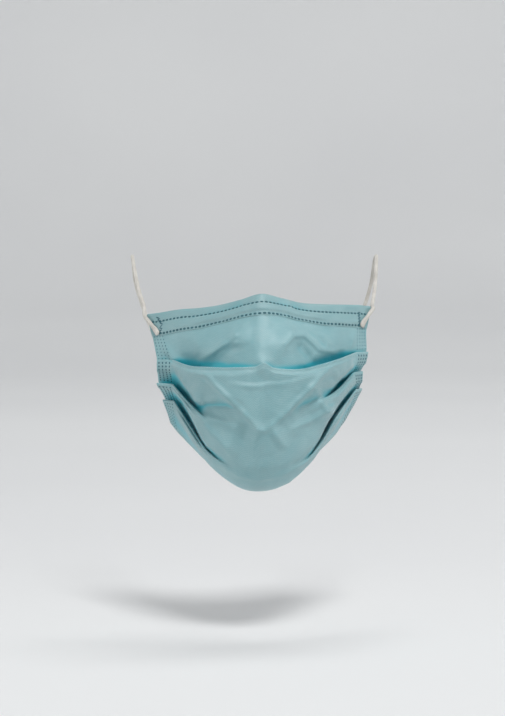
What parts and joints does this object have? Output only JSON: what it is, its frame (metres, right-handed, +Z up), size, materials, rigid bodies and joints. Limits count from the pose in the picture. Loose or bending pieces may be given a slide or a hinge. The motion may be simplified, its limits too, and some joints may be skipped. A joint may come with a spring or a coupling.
{
  "type": "disposable face mask",
  "caption": "Pleated non-woven face mask in its worn shape: pleats opened over the chin, a nose wire hemmed along the top and an elastic ear loop at each side.",
  "frame": {"origin": "on the top edge, in the middle, where the hem sits on the bridge of the nose", "axes": "+X to the wearer's left, +Y from the front of the mask back towards the ears, +Z up"},
  "size_m": [0.1615, 0.1554, 0.1422],
  "materials": {
    "mask_fabric": "matt spunbond non-woven, pale blue outside and white inside",
    "nose_wire": "plastic-coated bendable strip",
    "elastic": "soft knitted elastic cord"
  },
  "bodies": {
    "root": {"pleated_panel": "mask_fabric", "top_hem": "mask_fabric", "nose_wire": "nose_wire", "ear_loop_left": "elastic", "ear_loop_right": "elastic"}
  },
  "joints": []
}
